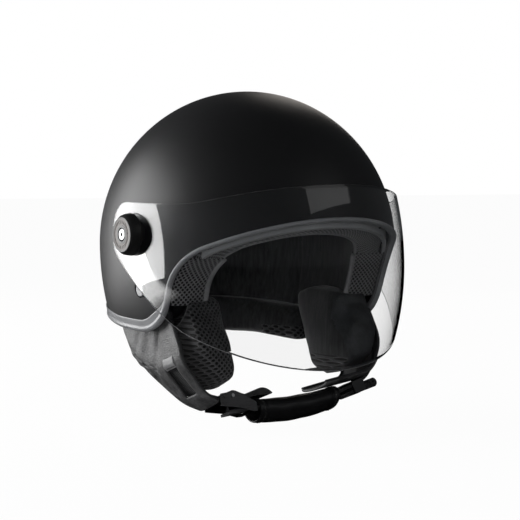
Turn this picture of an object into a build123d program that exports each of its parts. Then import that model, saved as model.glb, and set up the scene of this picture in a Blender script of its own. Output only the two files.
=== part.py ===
"""Open face (demi-jet) motorcycle helmet with a bubble visor, as an assembly of separate pieces.

Frame, in millimetres: the origin is the centre of the head space, on the middle plane.
-Y is the front, +Y the back, -X the wearer's right, +X the wearer's left, +Z up.
"""

import os
from math import cos, radians, sin, sqrt

from build123d import *

# ---------------------------------------------------------------- driving dimensions
shell_half_width = 123.0  # X
shell_half_length = 137.0  # Y
shell_top = 131.0  # +Z
shell_low = 176.0  # the lower half is a longer ellipsoid, cut off by the shell's edge
shell_wall = 4.0
eps_inner = 26.0  # depth of the foam's inner face under the shell's outer face
lining_inner = 33.0
clearance = 0.3

# Corners and radii of the shell's edge, seen from the side as (Y, Z): brow, face, ear, neck.
edge_corners = [(-175.0, 40.7), (-60.0, -9.0), (-40.0, -69.0), (20.0, -67.0), (175.0, -50.0)]
edge_radii = [60.0, 38.0, 150.0]
brow_slope = (edge_corners[0][1] - edge_corners[1][1]) / (edge_corners[1][0] - edge_corners[0][0])

trim_flange = 8.0  # width of the rubber edging on the shell's outer face
trim_bead = 2.6  # how far the edging stands beyond the shell's edge
trim_skin = 1.3

# Visor: each level is an arc in front of two flat arms.
visor_wall = 2.0
visor_arm_x = 125.8
visor_radius = 125.8
visor_centre_y = -16.5
visor_level = -20.0  # the level of its greatest radius
visor_high, visor_deep = 190.0, 175.0  # half heights of its bulge, above and below that level
visor_reach = 2.0  # it stands this much further forward than a circle
visor_back, arm_end = 26.0, -4.0  # the arms are flat between these (Y)
visor_levels = (-125, -95, -65, -35, -5, 25, 60)
visor_corners = [(-175.0, 62.2), (-75.0, 35.5), (11.5, 37.5), (11.0, -3.5), (-70.0, -67.0), (-175.0, -121.2)]
visor_radii = [120.0, 22.0, 14.0, 45.0]

# Visor pivot, on both sides along X.
pivot_y, pivot_z = -19.6, 10.7
spigot_radius = 5.0
boss_radius = 17.0  # the flat round boss where each visor arm meets its knob
running_gap = 0.08
screw_radius = 3.0
knob_radius, knob_face_radius, knob_height = 17.6, 13.7, 10.0

# Chin strap. It hangs from the two rivets, and its plane leans forward.
rivet_y, rivet_z = -21.0, -34.0
strap_lean = 19.3
rivet_radius = 2.5
web_width, web_wall = 20.0, 1.8
flap_wall = 2.4
flap_right = [(101.5, 24.0), (101.5, 68.0), (84.0, 94.0), (72.5, 100.0)]  # (X, distance below the rivets)
flap_left = [(101.5, 24.0), (101.5, 66.0), (91.0, 86.0), (38.0, 93.0)]
flap_radii = [22.0, 22.0]
chin_depth = 109.3  # distance of the chin sleeve's middle below the rivets
sleeve_start, sleeve_end = -33.0, 52.0
sleeve_radius = 10.5
rack_tilt = 5.0
rack_width, rack_wall, tooth_pitch = 15.0, 2.2, 2.0

strap_plane = Plane(
    origin=(0, rivet_y, rivet_z),
    x_dir=(1, 0, 0),
    z_dir=(0, -cos(radians(strap_lean)), sin(radians(strap_lean))),
)
pivot_right = Plane(origin=(0, pivot_y, pivot_z), x_dir=(0, 1, 0), z_dir=(-1, 0, 0))
rivet_right = Plane(origin=(0, rivet_y, rivet_z), x_dir=(0, 1, 0), z_dir=(-1, 0, 0))

os.makedirs("parts", exist_ok=True)


# ---------------------------------------------------------------- shared shapes
def egg(inset):
    """Closed egg whose surface lies inset under the shell's outer face."""
    length = shell_half_length - inset
    with BuildPart(mode=Mode.PRIVATE) as body:
        with BuildSketch(Plane.XZ):
            with BuildLine():
                EllipticalCenterArc((0, 0), length, shell_top - inset, 0, arc_size=90)
                EllipticalCenterArc((0, 0), length, shell_low - inset, 270, arc_size=90)
                Line((0, shell_top - inset), (0, inset - shell_low))
            make_face()
        revolve(axis=Axis.Z)
    return scale(body.part, by=((shell_half_width - inset) / length, 1, 1), mode=Mode.PRIVATE)


def side_prism(inward):
    """Block across the helmet above the shell's edge, its outline moved inward from that edge."""
    with BuildPart(mode=Mode.PRIVATE) as body:
        with BuildSketch(Plane.YZ):
            with BuildLine():
                FilletPolyline(*edge_corners, radius=edge_radii)
                Polyline(edge_corners[-1], (175, 180), (-175, 180), edge_corners[0])
            make_face()
            offset(amount=-inward, kind=Kind.INTERSECTION)
        extrude(amount=150, both=True)
    return body.part


def layer(outer, inner, low, high=None):
    """Part of the layer between two insets, from low to high inward of the shell's edge."""
    body = (egg(outer) & side_prism(low)) - (egg(inner) & side_prism(low - 4.0))
    return body if high is None else body - side_prism(high)


def block(low_corner, high_corner):
    """Box between two corners."""
    size = [high - low for low, high in zip(low_corner, high_corner)]
    middle = [(high + low) / 2 for low, high in zip(low_corner, high_corner)]
    return Pos(*middle) * Box(*size, mode=Mode.PRIVATE)


def turned(profile, low_angle, high_angle):
    """Solid swept by a closed (X, distance) outline about the rivets' line, between two angles from down."""
    with BuildPart(mode=Mode.PRIVATE) as body:
        with BuildSketch(Plane.XZ):
            with BuildLine():
                Polyline(*[(x, -depth) for x, depth in profile], close=True)
            make_face()
        revolve(axis=Axis.X, revolution_arc=high_angle - low_angle)
    return Pos(0, rivet_y, rivet_z) * (Rot(-high_angle, 0, 0) * body.part)


def finish(body, name):
    """Label a finished piece and write it."""
    body.label = name
    export_step(body, f"parts/{name}.step")


def mirrored(body):
    """The same piece on the wearer's left."""
    return mirror(body, about=Plane.YZ, mode=Mode.PRIVATE)


# ---------------------------------------------------------------- shell, foam and edging
shell_blank = layer(0, shell_wall, 0)
with BuildPart() as outer_shell:
    add(shell_blank)
    for side in (-1, 1):
        with Locations(Location((side * 118, pivot_y, pivot_z), (0, 90, 0))):
            Cylinder(spigot_radius + 0.6, 30, mode=Mode.SUBTRACT)
        with Locations(Location((side * 118, rivet_y, rivet_z), (0, 90, 0))):
            Cylinder(rivet_radius + 0.1, 30, mode=Mode.SUBTRACT)
        with Locations(Location((side * 123, rivet_y, rivet_z), (0, 90, 0))):
            Cylinder(7.6, 10.4, mode=Mode.SUBTRACT)
finish(outer_shell.part, "outer_shell")

trim_parts = [
    layer(-trim_skin, -0.05, -trim_bead, trim_flange),
    layer(shell_wall + 0.05, shell_wall + 1.0, -trim_bead, 6.0),
    layer(-1.8, 7.0, -trim_bead, -0.05),
]
with BuildPart() as edge_trim:
    for piece in trim_parts:
        add(piece)
finish(edge_trim.part, "edge_trim")

# The foam has a pocket on each side for the strap and its rivet, and a bore for the visor's insert.
strap_pocket = [(96.2, 0.0), (118.0, 0.0), (118.0, 70.0), (96.2, 70.0)]
pocket_left = turned(strap_pocket, -85, 82)
eps_blank = layer(shell_wall + clearance, eps_inner, 7.0)
with BuildPart() as eps_liner:
    add(eps_blank)
    for pocket in (pocket_left, mirrored(pocket_left)):
        add(pocket, mode=Mode.SUBTRACT)
    for side in (-1, 1):
        with Locations(Location((side * 107.0, rivet_y, rivet_z), (0, 90, 0))):
            Cylinder(18.0, 21.6, mode=Mode.SUBTRACT)
        with Locations(Location((side * 112, pivot_y, pivot_z), (0, 90, 0))):
            Cylinder(9.0, 24, mode=Mode.SUBTRACT)
finish(eps_liner.part, "eps_liner")

# ---------------------------------------------------------------- brow retainer
retainer_blank = layer(7.4, 10.4, -3.4, 6.2)
slot_angles = (-52, -31, -10, 10, 31, 52)
lug_y = -79.0


def slot_level(angle):
    """Height of a slot at an angle from the front: the middle of the retainer's visible lip."""
    reach = shell_half_length * cos(radians(angle))
    return edge_corners[1][1] + (reach + edge_corners[1][0]) * brow_slope - 1.2


with BuildPart() as brow_retainer:
    add(retainer_blank)
    add(block((-150, lug_y + 4, -200), (150, 200, 200)), mode=Mode.SUBTRACT)
    for angle in slot_angles:
        slot = Box(19, 50, 1.6, mode=Mode.PRIVATE)
        add(Rot(0, 0, angle) * Pos(0, -128, slot_level(angle)) * slot, mode=Mode.SUBTRACT)
finish(brow_retainer.part, "brow_retainer")

# ---------------------------------------------------------------- soft lining
with BuildPart() as forehead_band:
    add(layer(11.0, lining_inner + 1.5, 0.8, 6.6))
    add(block((-150, -64, -200), (150, 200, 200)), mode=Mode.SUBTRACT)
finish(forehead_band.part, "forehead_band")

temple_blank = layer(9.0, lining_inner + 1.5, 0.8, 6.6)
for side, name in ((-1, "right"), (1, "left")):
    low_x, high_x = sorted((side * 40, side * 150))
    with BuildPart() as temple_pad:
        add(temple_blank)
        add(block((low_x, -63.6, -42), (high_x, -20, 10)), mode=Mode.INTERSECT)
    finish(temple_pad.part, f"temple_pad_{name}")

with BuildPart() as crown_lining:
    add(layer(eps_inner + clearance, lining_inner, 7.0))
finish(crown_lining.part, "crown_lining")

with BuildPart() as neck_roll:
    add(layer(16.6, lining_inner + 3.0, -25.0, 6.6))
    add(block((-150, -200, -200), (150, 15, 200)), mode=Mode.SUBTRACT)
finish(neck_roll.part, "neck_roll")

# Cheek pads: hung inside the lining, kept clear of the foam above and of the strap's sweep outside.
pad_side = [(12.0, -38.0), (9.0, -62.0), (0.0, -88.0), (-12.0, -112.0), (-46.0, -121.0), (-79.0, -106.0),
            (-70.0, -74.0), (-56.0, -52.0), (-52.0, -38.0)]
pad_radii = [12.0, 30.0, 30.0, 16.0, 20.0, 14.0, 30.0, 30.0, 6.0]
foam_space = side_prism(0.4) - egg(lining_inner + 2.0)
pad_inner_x = 58.0


def cheek_pad(flap):
    """Wearer's left cheek pad, rounded towards the face, inside the sweep of the given flap."""
    inner = [(x - 8.0, depth - 5.0) for x, depth in flap]
    limit = [(20, 0), (inner[0][0], 0), *inner, (20, inner[-1][1])]
    with BuildPart(mode=Mode.PRIVATE) as pad:
        with BuildSketch(Plane.YZ.offset(pad_inner_x)):
            with BuildLine():
                FilletPolyline(*pad_side, radius=pad_radii, close=True)
            make_face()
        extrude(amount=46)
        fillet(pad.faces().sort_by(Axis.X)[0].edges(), 7.0)
    return (pad.part - foam_space) & turned(limit, -70, 75)


cheek_right = mirrored(cheek_pad(flap_right))
finish(cheek_right, "cheek_pad_right")
cheek_left = cheek_pad(flap_left)
finish(cheek_left, "cheek_pad_left")

# ---------------------------------------------------------------- visor
def visor_section(level, inset):
    """Left half of the visor's body at one level: a flat arm that runs into a round front."""
    half_height = visor_high if level > visor_level else visor_deep
    radius = visor_radius * sqrt(1 - ((level - visor_level) / half_height) ** 2) - inset
    arm = visor_arm_x - inset
    front_y = visor_centre_y - visor_reach - radius
    round_points = []
    for angle in (30, 50, 70):
        reach = (radius + visor_reach) * sin(radians(angle))
        round_points.append((radius * cos(radians(angle)), visor_centre_y - reach))
    with BuildSketch(Plane.XY.offset(level), mode=Mode.PRIVATE) as outline:
        with BuildLine():
            Polyline((0, front_y), (0, visor_back), (arm, visor_back), (arm, arm_end))
            Spline((arm, arm_end), *round_points, (0, front_y), tangents=[(0, -1), (-1, 0)])
        make_face()
    return outline.sketch


def visor_body(inset):
    """Left half of the solid bounded by the visor's face at the given inset."""
    return loft([visor_section(level, inset) for level in visor_levels], mode=Mode.PRIVATE)


with BuildPart() as visor:
    add(visor_body(0) - visor_body(visor_wall))
    with BuildSketch(Plane.YZ):
        with BuildLine():
            FilletPolyline(*visor_corners, radius=visor_radii)
            Line(visor_corners[-1], visor_corners[0])
        make_face()
    extrude(amount=150, mode=Mode.INTERSECT)
    with Locations(Location((visor_arm_x - visor_wall / 2, pivot_y, pivot_z), (0, 90, 0))):
        Cylinder(boss_radius, visor_wall)
        with Locations((0, 0, -10 - visor_wall / 2)):
            Cylinder(boss_radius, 20, mode=Mode.SUBTRACT)
        Cylinder(spigot_radius + running_gap, 60, mode=Mode.SUBTRACT)
    mirror(about=Plane.YZ)
finish(visor.part, "visor")

# ---------------------------------------------------------------- visor pivots
arm_inside = visor_arm_x - visor_wall
shell_space = egg(-0.05)
with BuildPart() as washer_right:
    with BuildSketch(pivot_right.offset(112)):
        Circle(11.0)
        Circle(spigot_radius + 0.6, mode=Mode.SUBTRACT)
    extrude(amount=arm_inside - 0.15 - 112)
    add(shell_space, mode=Mode.SUBTRACT)
with BuildPart() as visor_washers:
    add(washer_right.part)
    add(mirrored(washer_right.part))
finish(visor_washers.part, "visor_washers")

insert_face, insert_length = 114.9, 12.0
with BuildPart() as insert_right:
    with BuildSketch(pivot_right.offset(insert_face)):
        Circle(8.0)
    extrude(amount=-1.5)
    with BuildSketch(pivot_right.offset(insert_face)):
        RegularPolygon(5.5, 6)
    extrude(amount=-insert_length)
    with BuildSketch(pivot_right.offset(insert_face)):
        Circle(screw_radius + running_gap)
    extrude(amount=-insert_length - 1, mode=Mode.SUBTRACT)
with BuildPart() as visor_inserts:
    add(insert_right.part)
    add(mirrored(insert_right.part))
finish(visor_inserts.part, "visor_inserts")

knob_base = visor_arm_x + 0.2
with BuildPart() as knob_right:
    with BuildSketch(Plane.XZ):
        with BuildLine():
            Polyline((screw_radius, -3.4), (spigot_radius, -3.4), (spigot_radius, 0), (16.4, 0))
            Line((16.4, 0), (knob_radius, 1.4))
            Line((knob_radius, 1.4), (knob_radius - 0.6, 5.0))
            TangentArc((knob_radius - 0.6, 5.0), (knob_face_radius + 0.4, knob_height), tangent=(-0.6, 3.6))
            Polyline((knob_face_radius + 0.4, knob_height), (12.9, knob_height), (12.9, knob_height - 1.2),
                     (7.6, knob_height - 1.2), (7.6, knob_height), (5.6, knob_height), (5.6, 7.4),
                     (screw_radius, 7.4), (screw_radius, -3.4))
        make_face()
    revolve(axis=Axis.Z)
to_right = Location((-knob_base, pivot_y, pivot_z), (0, -90, 0))
knob_solid = to_right * knob_right.part
finish(knob_solid, "visor_knob_right")
finish(mirrored(knob_solid), "visor_knob_left")

with BuildPart() as knob_ring:
    with BuildSketch(Plane.XY.offset(knob_height - 1.15)):
        Circle(12.8)
        Circle(7.7, mode=Mode.SUBTRACT)
    extrude(amount=1.0)
    with BuildSketch(Plane.XY.offset(knob_height - 0.55)):
        Circle(11.6)
        Circle(9.0, mode=Mode.SUBTRACT)
    extrude(amount=1.0, mode=Mode.SUBTRACT)
    with BuildSketch(Plane.XY.offset(knob_height - 0.6)):
        with PolarLocations(10.3, 24):
            Rectangle(2.7, 0.9)
    extrude(amount=0.3)
ring_solid = to_right * knob_ring.part
finish(ring_solid, "knob_ring_right")
finish(mirrored(ring_solid), "knob_ring_left")

with BuildPart() as visor_screw:
    with BuildSketch(Plane.XZ):
        with BuildLine():
            Polyline((0, -19.0), (screw_radius - 0.02, -19.0), (screw_radius - 0.02, 7.45),
                     (5.2, 7.45), (5.2, 8.8))
            TangentArc((5.2, 8.8), (4.0, 9.9), tangent=(-0.3, 1))
            Polyline((4.0, 9.9), (0, 9.9), (0, -19.0))
        make_face()
    revolve(axis=Axis.Z)
    with BuildSketch(Plane.XY.offset(9.9)):
        RegularPolygon(1.9, 6)
    extrude(amount=-3.0, mode=Mode.SUBTRACT)
screw_solid = to_right * visor_screw.part
finish(screw_solid, "visor_screw_right")
finish(mirrored(screw_solid), "visor_screw_left")

# ---------------------------------------------------------------- strap rivets
with BuildPart() as rivet_one:
    with BuildSketch(rivet_right.offset(118.0)):
        Circle(6.6)
    extrude(amount=1.8)
    fillet(rivet_one.faces().sort_by(Axis.X)[0].edges(), 0.9)
    with BuildSketch(rivet_right.offset(118.0)):
        Circle(rivet_radius)
    extrude(amount=-10.5)
with BuildPart() as strap_rivets:
    add(rivet_one.part)
    add(mirrored(rivet_one.part))
finish(strap_rivets.part, "strap_rivets")

with BuildPart() as burr_one:
    with BuildSketch(rivet_right.offset(109.6)):
        Circle(6.5)
        Circle(rivet_radius, mode=Mode.SUBTRACT)
    extrude(amount=-1.2)
with BuildPart() as rivet_burrs:
    add(burr_one.part)
    add(mirrored(burr_one.part))
finish(rivet_burrs.part, "rivet_burrs")

# ---------------------------------------------------------------- chin strap
flap_side = [(-43.0, -60.0), (36.0, -60.0), (38.0, -71.0), (-44.0, -137.0), (-66.0, -123.0), (-56.0, -80.0)]


def web(route, radii, width, wall):
    """Flat webbing along a route in the strap's plane, given as (X, distance below the rivets)."""
    with BuildPart(mode=Mode.PRIVATE) as body:
        with BuildLine(strap_plane):
            path = FilletPolyline(*[(x, -depth) for x, depth in route], radius=radii)
        start = Plane(origin=path @ 0, x_dir=strap_plane.z_dir, z_dir=path % 0)
        with BuildSketch(start):
            Rectangle(width, wall)
        sweep(path=path)
    return body.part


def flap(corners):
    """Wearer's left ear flap."""
    outside = [(x, -depth) for x, depth in corners]
    shifts = ((1, 0), (1, 0.35), (0.75, 0.85), (0.2, 1))  # from the outer corners to the inner ones
    inside = [(x - flap_wall * shift_x, -depth + flap_wall * shift_y)
              for (x, depth), (shift_x, shift_y) in zip(corners, shifts)]
    with BuildPart(mode=Mode.PRIVATE) as body:
        with BuildSketch(Plane.XZ):
            with BuildLine():
                outer = FilletPolyline(*outside, radius=flap_radii)
                inner = FilletPolyline(*inside, radius=[radius - flap_wall for radius in flap_radii])
                Line(outer @ 0, inner @ 0)
                Line(outer @ 1, inner @ 1)
            make_face()
        revolve(axis=Axis.X, revolution_arc=150)
    swept = Pos(0, rivet_y, rivet_z) * (Rot(-75, 0, 0) * body.part)
    with BuildPart(mode=Mode.PRIVATE) as outline:
        with BuildSketch(Plane.YZ):
            with BuildLine():
                FilletPolyline(*flap_side, radius=[3, 3, 18, 8, 5, 30], close=True)
            make_face()
        extrude(amount=150)
    return swept & outline.part


def strap_box(low_corner, high_corner):
    """Box in the strap's plane: (X, distance below the rivets, forward)."""
    size = [high - low for low, high in zip(low_corner, high_corner)]
    middle = [(high + low) / 2 for low, high in zip(low_corner, high_corner)]
    return strap_plane * (Pos(middle[0], -middle[1], middle[2]) * Box(*size, mode=Mode.PRIVATE))


window_right = strap_box((-112, 61, -8), (-76, 90, 8))
flap_r = mirrored(flap(flap_right)) - window_right
finish(flap_r, "ear_flap_right")
slot_left = strap_box((93.5, 62, -11.5), (112, 84, 11.5))
flap_l = flap(flap_left) - slot_left
finish(flap_l, "ear_flap_left")

with BuildPart() as flap_loop:
    add(strap_box((-102.9, 52.0, -6.5), (-101.6, 58.0, 6.5)))
finish(flap_loop.part, "flap_loop_right")
finish(mirrored(flap_loop.part), "flap_loop_left")

web_from_rivet = [(110.5, -11.0), (110.5, 9.0), (97.9, 23.5)]
chin_web = {
    "right": web([(-x, depth) for x, depth in web_from_rivet] + [(-97.9, 66.2), (-81.2, 91.0),
                 (-68.4, 97.8)], [7.0, 7.0, 26.0, 26.0], web_width, web_wall),
    "left": web(web_from_rivet + [(97.9, 76.0), (84.5, 93.4), (46.0, 104.6), (24.0, 108.0)],
                [7.0, 7.0, 16.0, 30.0, 30.0], web_width, web_wall),
}
for side, name in ((-1, "right"), (1, "left")):
    with BuildPart() as strap_webbing:
        add(chin_web[name])
        with Locations(Location((side * 110.5, rivet_y, rivet_z), (0, 90, 0))):
            Cylinder(rivet_radius + 0.08, 8, mode=Mode.SUBTRACT)
    finish(strap_webbing.part, f"strap_webbing_{name}")


# ---------------------------------------------------------------- micrometric buckle
def strap_prism(outline, low, high):
    """Prism across the strap: its outline as (X, distance below the rivets), from low to high forward."""
    with BuildPart(mode=Mode.PRIVATE) as body:
        with BuildSketch(strap_plane.offset(low)):
            with BuildLine():
                Polyline(*[(x, -depth) for x, depth in outline], close=True)
            make_face()
        extrude(amount=high - low)
    return body.part


def strap_pin(x, depth, radius, half_length):
    """Pin across the strap."""
    return strap_plane * (Pos(x, -depth, 0) * Cylinder(radius, 2 * half_length, mode=Mode.PRIVATE))


hinge_x, hinge_depth = -58.0, 97.0
frame_side = [(-71.0, 97.5), (-69.0, 94.5), (-54.0, 93.5), (-36.0, 104.0), (-36.0, 111.6), (-41.0, 111.6),
              (-53.0, 107.6), (-71.0, 104.8)]
plate_in, plate_out = 11.6, 13.0
with BuildPart() as buckle_frame:
    for low, high in ((-plate_out, -plate_in), (plate_in, plate_out)):
        add(strap_prism(frame_side, low, high))
    add(strap_box((-40.5, 110.0, -plate_in), (-36.0, 111.6, plate_in)))
    add(strap_prism([(-71.0, 101.6), (-62.0, 102.8), (-62.0, 104.4), (-71.0, 103.2)], -plate_in, plate_in))
    add(strap_pin(hinge_x, hinge_depth, 1.5, 20), mode=Mode.SUBTRACT)
    add(strap_pin(-66.0, 97.6, 1.25, 20), mode=Mode.SUBTRACT)
finish(buckle_frame.part, "buckle_frame")
finish(strap_pin(hinge_x, hinge_depth, 1.45, plate_out + 0.6), "lever_pin")
finish(strap_pin(-66.0, 97.6, 1.2, plate_out + 0.4), "webbing_bar")

with BuildPart() as buckle_lever:
    with BuildSketch(strap_plane.offset(-11.2)):
        with BuildLine():
            top = Spline((-61.5, -95.0), (-57.0, -92.4), (-45.0, -96.4), (-30.0, -92.6), (-17.0, -97.4))
            Polyline(top @ 1, (-18.2, -98.3), (-33.0, -98.3), (-41.0, -99.6), (-56.0, -100.2),
                     (-61.5, -98.6), top @ 0)
        make_face()
    extrude(amount=22.4)
    add(strap_pin(hinge_x, hinge_depth, 1.53, 20), mode=Mode.SUBTRACT)
finish(buckle_lever.part, "buckle_lever")

pawl = strap_prism([(-53.0, 100.3), (-46.0, 100.1), (-48.6, 105.6), (-50.6, 105.6)], -7.0, 7.0)
finish(pawl, "rack_pawl")

rack_plane = Plane(
    origin=strap_plane.from_local_coords(Vector(-33.0, -107.8, 0)),
    x_dir=strap_plane.x_dir.rotate(Axis((0, 0, 0), strap_plane.z_dir), rack_tilt),
    z_dir=strap_plane.z_dir,
)
rack_low, rack_high, teeth = -27.0, 20.0, 12
with BuildPart() as toothed_rack:
    with BuildSketch(rack_plane.offset(-rack_width / 2)):
        with BuildLine():
            points = [(rack_high, -rack_wall / 2), (rack_high, rack_wall / 2)]
            for tooth in range(teeth, -1, -1):
                root = rack_low + 3.0 + tooth * tooth_pitch
                points += [(root + tooth_pitch * 0.9, rack_wall / 2), (root, rack_wall / 2 + 0.8)]
            Polyline(*points, (rack_low, rack_wall / 2), (rack_low, -rack_wall / 2), close=True)
        make_face()
    extrude(amount=rack_width)
    for x in (12.0, 16.5):
        with Locations(rack_plane * Location((x, 0, 0), (90, 0, 0))):
            Cylinder(1.05, 10, mode=Mode.SUBTRACT)
finish(toothed_rack.part, "toothed_rack")
with BuildPart() as rack_rivets:
    for x in (12.0, 16.5):
        with Locations(rack_plane * Location((x, 0, 0), (90, 0, 0))):
            Cylinder(1.0, 3.0)
finish(rack_rivets.part, "rack_rivets")

# ---------------------------------------------------------------- chin sleeve, slider and strap tail
with BuildPart() as chin_sleeve:
    with BuildLine(strap_plane):
        centre_line = ThreePointArc((sleeve_start, -chin_depth), (12.0, -chin_depth - 0.6),
                                    (sleeve_end, -104.6))
    mouth = Plane(origin=centre_line @ 0, x_dir=strap_plane.z_dir, z_dir=centre_line % 0)
    with BuildSketch(mouth):
        Ellipse(13.2, sleeve_radius)
        Ellipse(12.0, 8.5, mode=Mode.SUBTRACT)
    sweep(path=centre_line)
finish(chin_sleeve.part, "chin_sleeve")

slider_plane = Plane(
    origin=strap_plane.from_local_coords(Vector(74.0, -98.8, 0)),
    x_dir=strap_plane.x_dir.rotate(Axis((0, 0, 0), strap_plane.z_dir), 16.5),
    z_dir=strap_plane.z_dir,
)
with BuildPart() as strap_slider:
    with BuildSketch(slider_plane.offset(-12.5)):
        RectangleRounded(13.0, 11.0, 2.0)
    extrude(amount=25.0)
    with BuildSketch(slider_plane.offset(-10.6)):
        for height in (-2.6, 2.6):
            with Locations((0, height)):
                Rectangle(20, 2.6)
    extrude(amount=21.2, mode=Mode.SUBTRACT)
finish(strap_slider.part, "strap_slider")

with BuildPart() as strap_tail:
    add(web([(40.0, 108.4), (54.0, 107.6), (66.0, 103.9), (89.0, 97.2)], [10.0, 10.0], web_width, web_wall))
    add(strap_pin(92.0, 96.2, 4.0, web_width / 2))
finish(strap_tail.part, "strap_tail")
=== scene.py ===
"""Looks of an open face motorcycle helmet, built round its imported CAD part. Lengths are in metres.

-Y is the front, -X the wearer's right, +Z up. The origin is the centre of the head space.
"""

import math

import bmesh
import bpy
import numpy as np
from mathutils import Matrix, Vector


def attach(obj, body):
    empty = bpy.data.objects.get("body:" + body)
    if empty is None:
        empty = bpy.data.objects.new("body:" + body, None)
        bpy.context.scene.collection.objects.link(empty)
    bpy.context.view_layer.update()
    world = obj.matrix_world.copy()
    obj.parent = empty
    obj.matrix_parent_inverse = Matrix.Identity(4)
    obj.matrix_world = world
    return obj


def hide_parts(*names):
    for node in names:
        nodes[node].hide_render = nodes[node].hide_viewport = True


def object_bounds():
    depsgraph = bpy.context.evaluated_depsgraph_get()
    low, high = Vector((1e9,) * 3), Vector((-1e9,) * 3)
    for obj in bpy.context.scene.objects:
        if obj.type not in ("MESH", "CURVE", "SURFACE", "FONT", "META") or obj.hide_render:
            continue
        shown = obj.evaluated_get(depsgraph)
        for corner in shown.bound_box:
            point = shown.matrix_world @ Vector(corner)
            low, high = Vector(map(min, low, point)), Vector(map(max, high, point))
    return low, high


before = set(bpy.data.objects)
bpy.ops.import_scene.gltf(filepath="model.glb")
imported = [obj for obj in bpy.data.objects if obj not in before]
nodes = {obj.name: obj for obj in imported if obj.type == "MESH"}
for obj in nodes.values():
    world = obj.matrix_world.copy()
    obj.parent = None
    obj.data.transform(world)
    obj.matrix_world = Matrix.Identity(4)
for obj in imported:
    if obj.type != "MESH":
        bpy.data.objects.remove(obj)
cad_low, cad_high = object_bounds()
MM = 0.001
SAME_POINT = 1e-6  # points nearer than this are one
DIAGONAL = 0.785  # an eighth of a turn

# ---------------------------------------------------------------- sizes shared with the CAD part
SHELL_AXES = (123 * MM, 137 * MM, 131 * MM, 176 * MM)  # half width, half length, height above and below
SHELL_WALL = 4 * MM
EDGE_CORNERS = [(-175, 40.7), (-60, -9), (-40, -69), (20, -67), (175, -50)]  # (Y, Z) in mm
EDGE_RADII = [60, 38, 150]
RIM_POINTS = 440
RIVET_Y, RIVET_Z = -21 * MM, -34 * MM
RIVET_RECESS = 7.6 * MM
STRAP_LEAN = math.radians(19.3)


# ---------------------------------------------------------------- lines and surfaces
def rounded(corners, radii, step=1.5):
    """Points along a line through corners, with each inner corner rounded by its radius."""
    corners = [np.array(c, float) for c in corners]
    points = [corners[0]]
    for before, corner, after, radius in zip(corners, corners[1:], corners[2:], radii):
        arrive = (corner - before) / np.linalg.norm(corner - before)
        leave = (after - corner) / np.linalg.norm(after - corner)
        turn = math.acos(np.clip(arrive @ leave, -1, 1))
        inward = leave - arrive
        inward /= np.linalg.norm(inward)
        centre = corner + inward * radius / math.cos(turn / 2)
        count = max(3, int(radius * turn / step))
        tangent = radius * math.tan(turn / 2)
        start, end = corner - arrive * tangent, corner + leave * tangent
        for t in np.linspace(0, 1, count + 1):
            spoke = start * (1 - t) + end * t - centre
            points.append(centre + spoke / np.linalg.norm(spoke) * radius)
    points.append(corners[-1])
    return respaced(np.array(points), step)


def respaced(points, step):
    """The same line with points at even steps."""
    lengths = np.concatenate([[0], np.cumsum(np.linalg.norm(np.diff(points, axis=0), axis=1))])
    count = max(2, int(round(lengths[-1] / step)) + 1)
    along = np.linspace(0, lengths[-1], count)
    return np.stack([np.interp(along, lengths, points[:, k]) for k in range(points.shape[1])], 1)


EDGE = rounded(EDGE_CORNERS, EDGE_RADII, 0.8) * MM


def egg_axes(inset):
    """Half width, half length and the two heights of the egg at an inset under the shell's face."""
    return [axis - inset for axis in SHELL_AXES]


def egg_point(azimuth, latitude, inset):
    """Point on the egg at an inset under the shell's face.

    Azimuth 0 is the front and grows towards the wearer's left.
    """
    half_width, half_length, top, low = egg_axes(inset)
    height = np.where(latitude > 0, top, low)
    return np.stack([half_width * np.sin(azimuth) * np.cos(latitude),
                     -half_length * np.cos(azimuth) * np.cos(latitude),
                     height * np.sin(latitude)], -1)


def egg_normal(points, inset):
    """Ways out of the egg at points on it."""
    half_width, half_length, top, low = egg_axes(inset)
    height = np.where(points[..., 2] > 0, top, low)
    normal = np.stack([points[..., 0] / half_width ** 2, points[..., 1] / half_length ** 2,
                       points[..., 2] / height ** 2], -1)
    return normal / np.linalg.norm(normal, axis=-1, keepdims=True)


def inward_of_edge(y, z):
    """Distance of side-view points inward of the shell's edge, negative outside."""
    starts, ends = EDGE[:-1], EDGE[1:]
    run = ends - starts
    offset = np.stack([y, z], -1)[:, None, :] - starts
    t = np.clip((offset * run).sum(-1) / (run * run).sum(-1), 0, 1)
    distance = np.linalg.norm(offset - t[..., None] * run, axis=-1).min(1)
    return np.where(z > np.interp(y, EDGE[:, 0], EDGE[:, 1]), distance, -distance)


def edge_latitude(azimuth, inset, inward):
    """Latitude where the egg meets the line drawn inward of the shell's edge."""
    low = np.full(len(azimuth), math.radians(-75.0))
    high = np.full(len(azimuth), math.radians(89.0))
    for _ in range(30):
        middle = (low + high) / 2
        point = egg_point(azimuth, middle, inset)
        inside = inward_of_edge(point[:, 1], point[:, 2]) > inward
        high = np.where(inside, middle, high)
        low = np.where(inside, low, middle)
    return (low + high) / 2


def rim_azimuths(count):
    """Azimuths all the way round whose points on the shell's edge are evenly spaced."""
    fine = np.linspace(0, math.pi, 1200)
    rim = egg_point(fine, edge_latitude(fine, 0, 0), 0)
    lengths = np.concatenate([[0], np.cumsum(np.linalg.norm(np.diff(rim, axis=0), axis=1))])
    half = np.interp(np.linspace(0, lengths[-1], count // 2 + 1), lengths, fine)
    return np.concatenate([half, -half[-2:0:-1]])


# ---------------------------------------------------------------- meshes
def new_object(name, data):
    obj = bpy.data.objects.new(name, data)
    bpy.context.scene.collection.objects.link(obj)
    return obj


def shade_smooth(obj):
    obj.data.polygons.foreach_set("use_smooth", [True] * len(obj.data.polygons))
    return obj


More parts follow.
